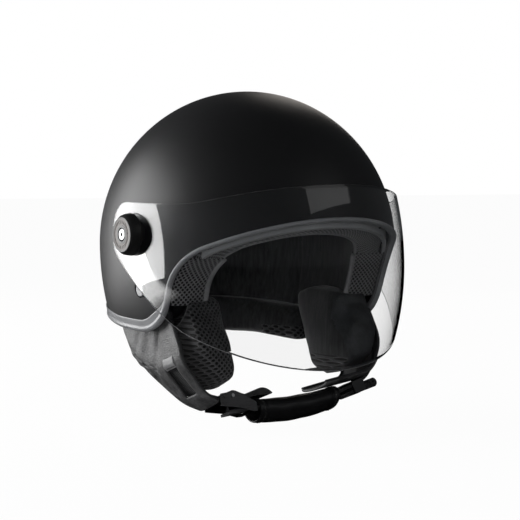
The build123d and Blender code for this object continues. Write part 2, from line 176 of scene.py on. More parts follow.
def weld(obj, fill=False, then=None):
    """Merges coinciding points and turns the faces outward; fill closes holes, then(bm) edits the result."""
    bm = bmesh.new()
    bm.from_mesh(obj.data)
    bmesh.ops.remove_doubles(bm, verts=bm.verts, dist=SAME_POINT)
    if fill:
        bmesh.ops.holes_fill(bm, edges=[e for e in bm.edges if e.is_boundary], sides=0)
    bmesh.ops.recalc_face_normals(bm, faces=bm.faces)
    if then is not None:
        then(bm)
    bm.to_mesh(obj.data)
    bm.free()
    return obj


def make_object(name, verts, faces, uvs=None, smooth=True):
    """Mesh object from plain lists; uvs holds one pair for each vertex, in metres."""
    mesh = bpy.data.meshes.new(name)
    mesh.from_pydata([tuple(map(float, v)) for v in verts], [], faces)
    mesh.validate()
    if uvs is not None:
        layer = mesh.uv_layers.new(name="cloth")
        for loop in mesh.loops:
            layer.data[loop.index].uv = uvs[loop.vertex_index]
    mesh.polygons.foreach_set("use_smooth", [smooth] * len(mesh.polygons))
    return new_object(name, mesh)


def grid(name, points, closed=False, skip=None, flip=False):
    """Sheet through points[i][j]; its cloth coordinates run along the two directions in metres."""
    points = np.asarray(points, float)
    rows, columns = points.shape[:2]
    along = np.zeros((rows, columns))
    across = np.zeros((rows, columns))
    along[1:] = np.cumsum(np.linalg.norm(np.diff(points, axis=0), axis=2), axis=0)
    across[:, 1:] = np.cumsum(np.linalg.norm(np.diff(points, axis=1), axis=2), axis=1)
    across -= across.mean(1, keepdims=True)
    faces = []
    for i in range(rows if closed else rows - 1):
        following = (i + 1) % rows
        for j in range(columns - 1):
            if skip is None or not skip(i, j):
                near, far = i * columns + j, following * columns + j
                face = (near, far, far + 1, near + 1)
                faces.append(face[::-1] if flip else face)
    uvs = np.stack([along.ravel(), across.ravel()], 1)
    return make_object(name, points.reshape(-1, 3), faces, uvs)


def apply_modifiers(obj):
    """Replace the mesh by what its modifiers make of it."""
    bpy.context.view_layer.update()
    evaluated = obj.evaluated_get(bpy.context.evaluated_depsgraph_get())
    mesh = bpy.data.meshes.new_from_object(evaluated)
    obj.modifiers.clear()
    obj.data = mesh
    return obj


def thicken(obj, thickness, offset=-1.0, rim_material=0, even=True):
    """Gives a sheet a wall: behind its faces at offset -1, to both sides of them at 0."""
    solid = obj.modifiers.new("thickness", "SOLIDIFY")
    solid.thickness = thickness
    solid.offset = offset
    solid.use_even_offset = even
    solid.material_offset_rim = rim_material
    return apply_modifiers(obj)


def soften(obj, width):
    """Rounds every edge sharper than 60 degrees."""
    bevel = obj.modifiers.new("edges", "BEVEL")
    bevel.width = width
    bevel.segments = 2
    bevel.limit_method = "ANGLE"
    bevel.angle_limit = math.radians(60)
    return apply_modifiers(obj)


def subdivide(obj):
    smooth = obj.modifiers.new("smooth", "SUBSURF")
    smooth.levels = smooth.render_levels = 1
    return apply_modifiers(obj)


def ring_faces(first, count, sides):
    """Faces between rings of points that follow each other from the first, with a cap on each end ring."""
    faces = []
    for row in range(first, first + (count - 1) * sides, sides):
        for k in range(sides):
            m = (k + 1) % sides
            faces.append((row + k, row + m, row + sides + m, row + sides + k))
    faces.append(tuple(range(first, first + sides))[::-1])
    faces.append(tuple(range(first + (count - 1) * sides, first + count * sides)))
    return faces


def tube(name, path, radius, sides=10):
    """Round tube along points, closed at both ends."""
    path = np.asarray(path, float)
    tangent = np.vstack([path[1:], path[-1:]]) - np.vstack([path[:1], path[:-1]])
    tangent /= np.linalg.norm(tangent, axis=1, keepdims=True)
    side = np.cross(tangent[0], (0.0, 0.0, 1.0) if abs(tangent[0][2]) < 0.9 else (1.0, 0.0, 0.0))
    verts = []
    for point, direction in zip(path, tangent):
        side = side - direction * (side @ direction)
        side /= np.linalg.norm(side)
        up = np.cross(direction, side)
        for k in range(sides):
            angle = 2 * math.pi * k / sides
            verts.append(point + radius * (math.cos(angle) * side + math.sin(angle) * up))
    return make_object(name, verts, ring_faces(0, len(path), sides))


def stitches(name, path, normal):
    """Thread stitches laid along a line, each a short capsule; normal gives the way out of the cloth."""
    pitch, length, radius, sides = 3.4 * MM, 2.3 * MM, 0.34 * MM, 6
    rings = ((-0.5, 0.25), (-0.32, 1.0), (0.32, 1.0), (0.5, 0.25))  # (place along it, share of the radius)
    line = respaced(np.asarray(path, float), pitch / 2)
    verts, faces = [], []
    for i in range(1, len(line) - 1, 2):
        direction = line[i + 1] - line[i - 1]
        direction /= np.linalg.norm(direction)
        out = np.asarray(normal(line[i]), float)
        side = np.cross(direction, out)
        faces += ring_faces(len(verts), len(rings), sides)
        for along, size in rings:
            for k in range(sides):
                angle = math.pi * k / 3
                ring = math.cos(angle) * side + math.sin(angle) * out
                verts.append(line[i] + direction * along * length + ring * radius * size)
    return make_object(name, verts, faces)


def join(name, parts):
    """One object from several."""
    bpy.ops.object.select_all(action="DESELECT")
    for part in parts:
        part.select_set(True)
    bpy.context.view_layer.objects.active = parts[0]
    bpy.ops.object.join()
    parts[0].name = parts[0].data.name = name
    return parts[0]


# ---------------------------------------------------------------- materials
class Look:
    """A material whose nodes are made with short calls."""

    def __init__(self, name, colour, roughness, **sockets):
        self.material = bpy.data.materials.new(name)
        self.material.use_nodes = True
        self.tree = self.material.node_tree
        self.shader = self.tree.nodes["Principled BSDF"]
        self.put(self.shader, Base_Color=(*colour, 1.0), Roughness=roughness, **sockets)

    def put(self, node, **inputs):
        """Sets or links a node's inputs, called by name (Base_Color) or by number (i0)."""
        for key, value in inputs.items():
            numbered = key[0] == "i" and key[1:].isdigit()
            socket = node.inputs[int(key[1:]) if numbered else key.replace("_", " ")]
            if isinstance(value, bpy.types.NodeSocket):
                self.tree.links.new(value, socket)
            else:
                socket.default_value = value
        return node

    def make(self, kind, settings=None, **inputs):
        node = self.tree.nodes.new(kind)
        for key, value in (settings or {}).items():
            setattr(node, key, value)
        return self.put(node, **inputs)

    def place(self, scale=(1, 1, 1), turn=(0, 0, 0), uv=False):
        """Coordinates in metres, scaled; on the piece's own surface if uv."""
        source = self.make("ShaderNodeTexCoord").outputs["UV" if uv else "Object"]
        return self.make("ShaderNodeMapping", Vector=source, Scale=scale, Rotation=turn).outputs[0]

    def noise(self, scale, detail=4.0, vector=None, rough=0.55):
        node = self.make("ShaderNodeTexNoise", Vector=vector or self.place(), Scale=scale, Detail=detail,
                         Roughness=rough)
        return node.outputs[0]

    def cells(self, scale, vector=None, feature="F1", randomness=1.0):
        node = self.make("ShaderNodeTexVoronoi", {"feature": feature}, Vector=vector or self.place(),
                         Scale=scale, Randomness=randomness)
        return node.outputs["Distance"]

    def waves(self, scale, vector, direction):
        settings = {"bands_direction": direction, "wave_profile": "SIN"}
        node = self.make("ShaderNodeTexWave", settings, Vector=vector, Scale=scale, Distortion=0.0)
        return node.outputs["Fac"]

    def ramp(self, value, low, high, start=0.0, end=1.0):
        """Maps a value from low..high to start..end."""
        node = self.make("ShaderNodeMapRange", Value=value, From_Min=low, From_Max=high, To_Min=start,
                         To_Max=end)
        return node.outputs[0]

    def combine(self, first, second, operation="ADD"):
        return self.make("ShaderNodeMath", {"operation": operation}, i0=first, i1=second).outputs[0]

    def tint(self, value, dark, light):
        """Base colour between two colours."""
        ends = {"i6": (*dark, 1.0), "i7": (*light, 1.0)}
        node = self.make("ShaderNodeMix", {"data_type": "RGBA"}, i0=value, **ends)
        self.put(self.shader, Base_Color=node.outputs[2])

    def rough(self, value, low, high):
        self.put(self.shader, Roughness=self.ramp(value, 0.0, 1.0, low, high))

    def mix_with(self, second, share):
        """Shows another shader over the material's own by a share."""
        mix = self.make("ShaderNodeMixShader", i0=share, i1=self.shader.outputs[0], i2=second.outputs[0])
        self.put(self.tree.nodes["Material Output"], i0=mix.outputs[0])

    def bump(self, *layers):
        """Stacks (height, distance in metres) layers into the shader's normal."""
        normal = None
        for height, distance in layers:
            node = self.make("ShaderNodeBump", Height=height, Distance=distance, Strength=1.0)
            if normal is not None:
                self.put(node, Normal=normal)
            normal = node.outputs[0]
        self.put(self.shader, Normal=normal)


def shell_look():
    look = Look("matt_black_paint", (0.011, 0.011, 0.012), 0.42, Specular_IOR_Level=0.42)
    cloud = look.noise(14.0, 3.0)
    grain = look.noise(2600.0, 2.0)
    look.tint(cloud, (0.009, 0.009, 0.0098), (0.0135, 0.0135, 0.0145))
    look.rough(cloud, 0.40, 0.47)
    look.bump((grain, 0.00003))
    return look.material


def moulded(name, dark, light, low, high, grain=1800.0, depth=0.00005):
    """Moulded plastic or rubber with a fine grain; low and high are the limits of its roughness."""
    look = Look(name, light, high)
    cloud = look.noise(45.0, 5.0)
    look.tint(cloud, dark, light)
    look.rough(cloud, low, high)
    look.bump((look.noise(grain, 3.0), depth))
    return look.material


def metal(name, dark, light, low, high):
    """Metal with fine brushed lines."""
    look = Look(name, light, low, Metallic=1.0)
    lines = look.noise(60.0, 6.0, look.place((1.0, 18.0, 18.0)))
    look.tint(lines, dark, light)
    look.rough(lines, low, high)
    look.bump((lines, 0.00002))
    return look.material


def brushed_lining():
    look = Look("brushed_lining", (0.011, 0.011, 0.012), 0.95, Sheen_Weight=0.35, Sheen_Roughness=0.5)
    nap = look.noise(420.0, 3.0, look.place((1.0, 1.0, 0.12)))
    patch = look.noise(40.0, 5.0)
    both = look.combine(look.ramp(nap, 0.3, 0.7, 0, 0.6), look.ramp(patch, 0.3, 0.7, 0, 0.4))
    look.tint(both, (0.006, 0.006, 0.0065), (0.055, 0.055, 0.057))
    look.bump((nap, 0.0002), (patch, 0.0006))
    return look.material


def spacer_mesh(name, thread, shadow, pitch=3.1, uv=False, turn=(0, 0, DIAGONAL)):
    """Spacer fabric: a net of threads round small holes; pitch is in mm."""
    look = Look(name, thread, 0.85, Sheen_Weight=0.2)
    surface = look.place((1, 1, 1) if uv else (1, 0, 1), turn, uv)
    holes = look.cells(1000.0 / pitch, surface, randomness=0.0)
    mask = look.ramp(holes, 0.33, 0.43)
    fibres = look.noise(1800.0, 2.0)
    tone = look.combine(mask, look.ramp(fibres, 0.2, 0.8, 0.6, 1.0), "MULTIPLY")
    look.tint(tone, shadow, thread)
    look.bump((mask, 0.0008))
    return look.material


def leatherette(name, dark, light, low, high, pebble=900.0, depth=0.00025):
    """Coated cloth with a pebbled grain and soft folds."""
    look = Look(name, light, high)
    patch = look.noise(48.0, 10.0, rough=0.68)
    pebbles = look.cells(pebble, feature="SMOOTH_F1")
    fold = look.noise(26.0, 3.0)
    both = look.combine(look.ramp(patch, 0.3, 0.72), look.ramp(pebbles, 0.0, 0.6, 0.65, 1.0), "MULTIPLY")
    look.tint(both, dark, light)
    look.rough(patch, low, high)
    look.bump((pebbles, depth), (fold, 0.0008))
    return look.material


def woven(name, dark, light):
    """Woven webbing: ribs across the strap and a twill along it."""
    look = Look(name, light, 0.8, Sheen_Weight=0.15)
    surface = look.place(uv=True)
    ribs = look.waves(260.0, surface, "X")
    rows = look.waves(150.0, surface, "Y")
    weave = look.combine(ribs, rows, "MULTIPLY")
    fray = look.noise(2400.0, 2.0)
    tone = look.combine(look.ramp(weave, 0, 1, 0.2, 0.8), look.ramp(fray, 0.3, 0.7, 0, 0.3))
    look.tint(tone, dark, light)
    look.bump((weave, 0.0003), (fray, 0.0001))
    return look.material


def foam():
    look = Look("expanded_foam", (0.014, 0.014, 0.015), 0.8)
    beads = look.cells(330.0)
    look.tint(look.ramp(beads, 0.0, 0.7), (0.02, 0.02, 0.021), (0.008, 0.008, 0.009))
    look.bump((look.ramp(beads, 0.0, 0.7, 1.0, 0.0), 0.0003))
    return look.material


def clear(name, roughness, tone):
    """Clear plastic; lamps shine through it instead of casting a dark shadow."""
    look = Look(name, (tone, tone, tone), roughness, Transmission_Weight=1.0, IOR=1.5)
    scratch = look.noise(900.0, 2.0)
    look.rough(scratch, roughness, roughness + 0.012)
    window = look.make("ShaderNodeBsdfTransparent", Color=(0.93, 0.94, 0.95, 1.0))
    look.mix_with(window, look.make("ShaderNodeLightPath").outputs["Is Shadow Ray"])
    return look.material


def thread():
    look = Look("thread", (0.06, 0.06, 0.062), 0.7)
    twist = look.noise(4000.0, 1.0)
    look.tint(twist, (0.03, 0.03, 0.03), (0.1, 0.1, 0.1))
    return look.material


PAINT = shell_look()
TRIM = moulded("satin_rubber", (0.2, 0.203, 0.21), (0.3, 0.305, 0.315), 0.24, 0.34)
RETAINER = moulded("grey_plastic", (0.24, 0.245, 0.25), (0.33, 0.335, 0.34), 0.26, 0.38)
KNOB = moulded("black_knob_plastic", (0.007, 0.007, 0.007), (0.014, 0.014, 0.014), 0.32, 0.5, 900.0, 0.0001)
LEVER = moulded("black_lever_plastic", (0.008, 0.008, 0.009), (0.016, 0.016, 0.017), 0.22, 0.36)
RACK = moulded("grey_nylon", (0.03, 0.03, 0.032), (0.07, 0.07, 0.073), 0.25, 0.4)
WASHER = moulded("soft_rubber", (0.01, 0.01, 0.01), (0.02, 0.02, 0.02), 0.6, 0.8)
RIVET = moulded("rivet_paint", (0.09, 0.09, 0.094), (0.13, 0.13, 0.135), 0.22, 0.32)
STEEL = metal("plated_steel", (0.36, 0.36, 0.37), (0.55, 0.55, 0.56), 0.22, 0.38)
RING = metal("burnished_steel", (0.03, 0.028, 0.027), (0.09, 0.085, 0.082), 0.3, 0.45)
CHROME = metal("polished_chrome", (0.42, 0.42, 0.42), (0.6, 0.6, 0.6), 0.08, 0.16)
DARK_STEEL = metal("black_plated_steel", (0.05, 0.05, 0.052), (0.15, 0.15, 0.155), 0.25, 0.36)
BRASS = metal("brass", (0.4, 0.3, 0.14), (0.6, 0.47, 0.24), 0.25, 0.4)
LINING = brushed_lining()
MESH = spacer_mesh("spacer_mesh", (0.23, 0.23, 0.235), (0.003, 0.003, 0.003), uv=True)
BLACK_MESH = spacer_mesh("black_spacer_mesh", (0.075, 0.075, 0.078), (0.002, 0.002, 0.002), 3.2,
                         turn=(0, DIAGONAL, 0))
SUEDE = leatherette("grey_leatherette", (0.012, 0.012, 0.012), (0.17, 0.17, 0.173), 0.36, 0.6)
DARK_SUEDE = leatherette("dark_leatherette", (0.016, 0.017, 0.018), (0.075, 0.078, 0.082), 0.36, 0.5)
SLEEVE = leatherette("black_leatherette", (0.006, 0.006, 0.0065), (0.016, 0.016, 0.017), 0.3, 0.42,
                     1300.0, 0.0001)
BORDER = leatherette("grey_piping", (0.16, 0.16, 0.163), (0.28, 0.28, 0.285), 0.4, 0.5, 1500.0, 0.0001)
DARK_PIPING = leatherette("dark_piping", (0.02, 0.02, 0.021), (0.05, 0.05, 0.052), 0.4, 0.5, 1500.0, 0.0001)
WEB = woven("black_webbing", (0.004, 0.004, 0.0045), (0.022, 0.022, 0.024))
FOAM = foam()
CLEAR = clear("clear_polycarbonate", 0.0, 0.985)
# The visor's cut rim: opaque light grey that stands in for the bright lines along the clear sheet's edges, a
# painted highlight.
PAINTED_EDGE_HIGHLIGHT = moulded("painted_edge_highlight", (0.5, 0.5, 0.51), (0.64, 0.64, 0.65), 0.2, 0.3)
THREAD = thread()


def dress(obj, *materials):
    obj.data.materials.clear()
    for material in materials:
        obj.data.materials.append(material)
    return obj


def add_piece(obj, body, slot, *replaced):
    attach(obj, body)
    if replaced:
        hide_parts(*replaced)
    return obj


# ---------------------------------------------------------------- camera, floor and lights
def orbit(azimuth, elevation):
    """Direction from the object towards a viewer; azimuth 0 looks along +Y."""
    azimuth, elevation = math.radians(azimuth), math.radians(elevation)
    return Vector((math.sin(azimuth) * math.cos(elevation), -math.cos(azimuth) * math.cos(elevation),
                   math.sin(elevation)))


def make_camera():
    view_azimuth, view_elevation, distance = -35.0, 3.0, 1.4
    towards = orbit(view_azimuth, view_elevation)
    right = Vector((math.cos(math.radians(view_azimuth)), math.sin(math.radians(view_azimuth)), 0))
    up = towards.cross(right)
    aim = right * 12.2 * MM - up * 14.8 * MM
    camera = new_object("camera", bpy.data.cameras.new("camera"))
    camera.data.lens = 111.5
    camera.data.sensor_width = 36.0
    camera.location = aim + towards * distance
    camera.rotation_euler = (-towards).to_track_quat("-Z", "Y").to_euler()
    bpy.context.scene.camera = camera


def softbox(name, azimuth, elevation, distance, width, height, radiance, colour=(1, 1, 1), shines=True):
    """Area light that faces the object; radiance is how bright its face looks."""
    light = bpy.data.lights.new(name, "AREA")
    light.shape = "RECTANGLE"
    light.size, light.size_y = width, height
    light.energy = radiance * math.pi * width * height
    light.color = colour
    lamp = new_object(name, light)
    direction = orbit(azimuth, elevation)
    lamp.location = direction * distance
    lamp.rotation_euler = direction.to_track_quat("Z", "Y").to_euler()
    lamp.visible_camera = False
    lamp.visible_glossy = lamp.visible_transmission = shines


def seen_directly(tree):
    """1 for rays that see a thing straight or through clear plastic, 0 for those that met another surface."""
    path = tree.nodes.new("ShaderNodeLightPath").outputs

    def combine(operation, first, second=None):
        node = tree.nodes.new("ShaderNodeMath")
        node.operation = operation
        tree.links.new(first, node.inputs[0])
        if second is None:
            node.inputs[1].default_value = 0.5
        else:
            tree.links.new(second, node.inputs[1])
        return node.outputs[0]

    either = combine("MAXIMUM", path["Is Camera Ray"], path["Is Transmission Ray"])
    bounces = combine("ADD", path["Glossy Depth"], path["Diffuse Depth"])
    return combine("MULTIPLY", either, combine("LESS_THAN", bounces))


def make_surroundings():
    world = bpy.data.worlds.new("studio")
    world.use_nodes = True
    tree = world.node_tree
    tree.nodes.clear()
    mix = tree.nodes.new("ShaderNodeMixShader")
    tree.links.new(seen_directly(tree), mix.inputs[0])
    # a dim light from all round, and the white that is seen
    for place, colour, strength in ((1, (0.9, 0.95, 1.0, 1), 0.045), (2, (1, 1, 1, 1), 1.0)):
        background = tree.nodes.new("ShaderNodeBackground")
        background.inputs[0].default_value = colour
        background.inputs[1].default_value = strength
        tree.links.new(background.outputs[0], mix.inputs[place])
    output = tree.nodes.new("ShaderNodeOutputWorld")
    tree.links.new(mix.outputs[0], output.inputs[0])
    bpy.context.scene.world = world

    floor_z = cad_low[2] - 2 * MM
    reach = 12.0
    corners = [(x * reach, y * reach, floor_z) for x, y in ((-1, -1), (1, -1), (1, 1), (-1, 1))]
    floor = make_object("floor", corners, [(0, 1, 2, 3)], smooth=False)
    paper = Look("pale_floor", (0.86, 0.86, 0.87), 0.8)
    paper.tint(paper.noise(3.0), (0.85, 0.85, 0.86), (0.88, 0.88, 0.885))
    # Painted light: in reflections the floor is dark except a pool towards the back-left lamp that glows up
    # to five times white, though the floor is no lamp; seen straight, the floor is an even white.
    turned = paper.make("ShaderNodeSeparateXYZ", Vector=paper.place(turn=(0, 0, -DIAGONAL)))
    beside = paper.combine(turned.outputs[0], 0.0, "ABSOLUTE")
    behind = paper.ramp(turned.outputs[1], 0.5, 0.9, 0.0, 5.0)
    painted_glow_pool = paper.combine(behind, paper.ramp(beside, 0.55, 0.4), "MULTIPLY")
    seen = seen_directly(paper.tree)
    reflected = paper.combine(paper.make("ShaderNodeLightPath").outputs["Glossy Depth"], 1.0, "MINIMUM")
    share = paper.combine(paper.combine(seen, 0.95, "MULTIPLY"), reflected, "MAXIMUM")
    # The painted glow pool sets how bright the floor glows in reflections.
    strength = paper.combine(paper.combine(seen, 1.02, "MULTIPLY"), painted_glow_pool, "MAXIMUM")
    glow = paper.make("ShaderNodeEmission", Color=(1, 1, 1, 1), Strength=strength)
    paper.mix_with(glow, share)
    dress(floor, paper.material)

    softbox("back_left", -135.0, 6.0, 1.5, 1.35, 1.5, 6.0)
    softbox("right_rim", 136.0, 24.0, 1.5, 0.3, 0.9, 1.6, (1.0, 0.93, 0.86))
    softbox("front_fill", 25.0, 30.0, 1.8, 1.2, 0.8, 0.4)
    softbox("low_fill", -30.0, 8.0, 1.8, 1.0, 0.8, 2.5, shines=False)
    bpy.context.scene.view_settings.view_transform = "Standard"
    bpy.context.scene.view_settings.look = "None"


# ---------------------------------------------------------------- shell and its edging
RIM = rim_azimuths(RIM_POINTS)


def bowl_points(azimuths, inset, inward, rings):
    """Columns of points from the crown down to a line inward of the shell's edge."""
    edge = edge_latitude(azimuths, inset, inward)
    columns = []
    for azimuth, low in zip(azimuths, edge):
        latitudes = math.pi / 2 + (low - math.pi / 2) * np.linspace(0, 1, rings)
        columns.append(egg_point(np.full(rings, azimuth), latitudes, inset))
    return np.array(columns)


def bowl(name, azimuths, outer, inner, inward, rings):
    """Bowl with two walls, at the insets outer and inner, that meet at a line inward of the shell's edge."""
    outside = bowl_points(azimuths, outer, inward, rings)
    inside = bowl_points(azimuths, inner, inward, rings)[:, ::-1]
    return shade_smooth(weld(grid(name, np.concatenate([outside, inside], axis=1), closed=True)))


def make_shell():
    """Painted shell with a round recess at each strap rivet."""
    shell = bowl("shell_skin", RIM, 0, SHELL_WALL, 0, 110)
    for side in (-1, 1):
        bpy.ops.mesh.primitive_cylinder_add(vertices=64, radius=RIVET_RECESS, depth=20 * MM,
                                            location=(side * 127.8 * MM, RIVET_Y, RIVET_Z),
                                            rotation=(0, math.pi / 2, 0))
        cutter = bpy.context.object
        cut = shell.modifiers.new("recess", "BOOLEAN")
        cut.object = cutter
        cut.operation = "DIFFERENCE"
        cut.solver = "EXACT"
        apply_modifiers(shell)
        bpy.data.objects.remove(cutter)
    true_normals(shell, 0)
    dress(shell, PAINT)
    add_piece(shell, "shell", "shell_paint", "outer_shell")


def true_normals(obj, inset):
    """Shades both walls by the egg's own normals, and every other face by its own."""
    mesh = shade_smooth(obj).data
    co = np.array([v.co for v in mesh.vertices])
    exact = egg_normal(co, inset)
    half_width, half_length, top, low = egg_axes(inset)
    height = np.where(co[:, 2] > 0, top, low)
    level = (co[:, 0] / half_width) ** 2 + (co[:, 1] / half_length) ** 2 + (co[:, 2] / height) ** 2
    on_face = np.abs(level - 1) < 0.004
    alike = 0.9
    normals = []
    for face in mesh.polygons:
        for index in face.vertices:
            normal = exact[index]
            facing = np.dot(normal, face.normal)
            outer = on_face[index] and facing > alike
            inner = not on_face[index] and abs(facing) > alike
            direction = normal if outer else (-normal if inner else np.array(face.normal))
            normals.append(tuple(direction))
    mesh.normals_split_custom_set(normals)


def make_trim():
    """Rubber edging: a flat flange on the shell's face and a round bead that wraps its edge."""
    rim = egg_point(RIM, edge_latitude(RIM, 0, 0), 0)
    normal = egg_normal(rim, 0)
    tangent = np.roll(rim, -1, 0) - np.roll(rim, 1, 0)
    tangent /= np.linalg.norm(tangent, axis=1, keepdims=True)
    upward = np.cross(normal, tangent)
    upward /= np.linalg.norm(upward, axis=1, keepdims=True)
    if upward[0][2] < 0:
        upward = -upward
    # (outward, away from the edge) in mm, once round the section; the first points are the flange
    section = [(0.25, 8.6), (0.75, 8.5), (1.0, 8.0), (1.05, 5.5), (1.1, 3.2), (1.35, 2.3), (1.9, 1.3),
               (2.0, 0.2), (1.6, -1.1), (0.7, -2.0), (-0.8, -2.4), (-2.8, -2.3), (-4.1, -1.6), (-4.6, -0.6),
               (-4.8, 3.0), (-4.4, 3.5), (-4.1, 3.2), (-3.9, 1.0), (-1.0, 0.4), (-0.4, 1.2)]
    flange_points, twice_shell_radius = 5, 0.25
    low_part = np.clip((-40 * MM - rim[:, 2]) / (22 * MM), 0, 1)
    low_part = (low_part ** 2 * (3 - 2 * low_part))[:, None]
    rows = []
    for number, (out, along) in enumerate(section):
        narrow = 1.0 + (along - 2.2) * 0.12 if number < flange_points else along * 0.72
        reach = (narrow + (along - narrow) * low_part) * MM
        rise = (out * (0.85 + 0.15 * low_part) if out > 0 else out) * MM
        rows.append(rim + normal * (rise - reach ** 2 / twice_shell_radius) + upward * reach)
    rows.append(rows[0])
    trim = grid("edge_trim_skin", np.array(rows).transpose(1, 0, 2), closed=True, flip=True)
    dress(subdivide(weld(trim)), TRIM)
    add_piece(trim, "shell", "trim_rubber", "edge_trim")


# ---------------------------------------------------------------- visor
# in mm: wall; X of the flat arms; the bowl's radius and centre (Y) at its widest level (Z); its heights above
# and below that level; how much longer than wide it is; Y where the arms turn into the bowl
VISOR_WALL = 2.0
VISOR_ARM, VISOR_RADIUS, VISOR_CENTRE, VISOR_LEVEL = 125.8, 125.8, -16.5, -20.0
VISOR_HIGH, VISOR_DEEP, VISOR_REACH, ARM_END = 190.0, 175.0, 2.0, -4.0
BEND_SHARE, BEND_TURN = 0.4, 30  # part of the columns between arm and bowl, and where they meet the bowl
VISOR_OUTLINE = rounded([(-175, 62.2), (-75, 35.5), (11.5, 37.5), (11, -3.5), (-70, -67), (-175, -121.2)],
                        [120, 22, 14, 45], 0.7)


def visor_place(column, level):
    """(X, Y) in mm of a visor column at a level; columns below 0 lie on the flat arm, 1 is the middle."""
    half_height = VISOR_HIGH if level > VISOR_LEVEL else VISOR_DEEP
    radius = VISOR_RADIUS * math.sqrt(1 - ((level - VISOR_LEVEL) / half_height) ** 2)
    if column <= 0:
        return VISOR_ARM, ARM_END - column
    if column >= BEND_SHARE:
        angle = math.radians(BEND_TURN + 60 * (column - BEND_SHARE) / (1 - BEND_SHARE))
        return radius * math.cos(angle), VISOR_CENTRE - (radius + VISOR_REACH) * math.sin(angle)
    t = column / BEND_SHARE
    angle = math.radians(BEND_TURN)
    start = np.array([VISOR_ARM, ARM_END])
    end = np.array([radius * math.cos(angle), VISOR_CENTRE - (radius + VISOR_REACH) * math.sin(angle)])
    chord = np.linalg.norm(end - start)
    leave = np.array([0.0, -1.0]) * chord
    arrive = np.array([-math.sin(angle), -math.cos(angle)]) * chord
    place = ((2 * t ** 3 - 3 * t ** 2 + 1) * start + (t ** 3 - 2 * t ** 2 + t) * leave
             + (3 * t ** 2 - 2 * t ** 3) * end + (t ** 3 - t ** 2) * arrive)
    return place[0], place[1]


def make_visor():
    """Clear shield in the side outline, its two halves alike."""
    rear = VISOR_OUTLINE[:, 0].max()
    rear_index = int(VISOR_OUTLINE[:, 0].argmax())
    upper, lower = VISOR_OUTLINE[:rear_index + 1], VISOR_OUTLINE[rear_index:][::-1]
    arm_length = rear - ARM_END
    turns = np.linspace(0, math.pi / 2, 16)
    columns = [-arm_length * math.cos(t) * 0.999 for t in turns[:-1]] + list(np.linspace(0, 1, 90))
    half = []
    for column in columns:
        limits = []
        for line in (lower, upper):
            level = 0.0
            for _ in range(30):
                level = float(np.interp(visor_place(column, level)[1], line[:, 0], line[:, 1]))
            limits.append(level)
        strip = []
        for level in np.linspace(*limits, 56):
            x, y = visor_place(column, level)
            strip.append((x * MM, y * MM, level * MM))
        half.append(strip)
    half = np.array(half)
    other = half[:-1][::-1].copy()
    other[..., 0] *= -1
    visor = grid("visor_shield", np.concatenate([half, other]))
    dress(visor, CLEAR, PAINTED_EDGE_HIGHLIGHT)
    front = Vector((0, -0.14, -0.02))
    bm = bmesh.new()
    bm.from_mesh(visor.data)
    middle = min(bm.faces, key=lambda f: (f.calc_center_median() - front).length)
    if middle.normal.y > 0:
        bmesh.ops.reverse_faces(bm, faces=bm.faces)
    bm.to_mesh(visor.data)
    bm.free()
    # The rim takes the second material, its light grey a painted edge highlight.
    thicken(visor, VISOR_WALL * MM, rim_material=1)
    shade_smooth(soften(visor, 0.45 * MM))
    add_piece(visor, "visor", "clear_visor", "visor")


# ---------------------------------------------------------------- padding
def puff(obj, voxel, cap):
    """Blows a closed form up as cloth, with no point moving further than cap."""
    frames = 20
    remesh = obj.modifiers.new("voxels", "REMESH")
    remesh.mode = "VOXEL"
    remesh.voxel_size = voxel
    apply_modifiers(obj)
    rest = np.array([v.co for v in obj.data.vertices])
    cloth = obj.modifiers.new("cloth", "CLOTH")
    cloth.settings.use_pressure = True
    cloth.settings.uniform_pressure_force = 4.0
    cloth.settings.effector_weights.gravity = 0
    cloth.settings.quality = 5
    cloth.point_cache.frame_start, cloth.point_cache.frame_end = 1, frames
    for number in range(1, frames + 1):
        bpy.context.scene.frame_set(number)
    apply_modifiers(obj)
    bpy.context.scene.frame_set(1)
    for vertex, start in zip(obj.data.vertices, rest):
        move = vertex.co - Vector(start)
        if move.length > cap:
            vertex.co = Vector(start) + move.normalized() * cap
    relax = obj.modifiers.new("relax", "SMOOTH")
    relax.factor, relax.iterations = 0.5, 3
    apply_modifiers(obj)
    return subdivide(obj)


def padding_from(node, name, shrink, voxel, cap):
    """A cushion grown from a copy of a CAD node's own closed form, drawn in by shrink."""
    obj = new_object(name, nodes[node].data.copy())

    def draw_in(bm):
        bm.normal_update()
        for vertex, normal in [(v, v.normal.copy()) for v in bm.verts]:
            vertex.co -= normal * shrink

    return shade_smooth(puff(weld(obj, then=draw_in), voxel, cap))


def face_materials(obj, choose):
    for face in obj.data.polygons:
        face.material_index = choose(face.center, face.normal)


def make_cheek_pads():
    for name, side in (("right", -1), ("left", 1)):
        pad = padding_from(f"cheek_pad_{name}", f"cheek_cushion_{name}", 1.2 * MM, 3.2 * MM, 4 * MM)
        front = DARK_SUEDE if side > 0 else BLACK_MESH
        limit = -0.35 if side > 0 else 0.2
        dress(pad, LINING, front, BLACK_MESH)
        face_materials(pad, lambda centre, normal: 1 if normal.y < limit else (2 if centre.z < -0.098 else 0))
        add_piece(pad, "shell", "lining_fabric", f"cheek_pad_{name}")


def make_neck_roll():
    roll = padding_from("neck_roll", "neck_padding", 1.5 * MM, 4 * MM, 5 * MM)
    dress(roll, LINING, BLACK_MESH)
    face_materials(roll, lambda centre, normal: 1 if centre.z < -0.078 and centre.y < 0.055 else 0)
    add_piece(roll, "shell", "lining_fabric", "neck_roll")


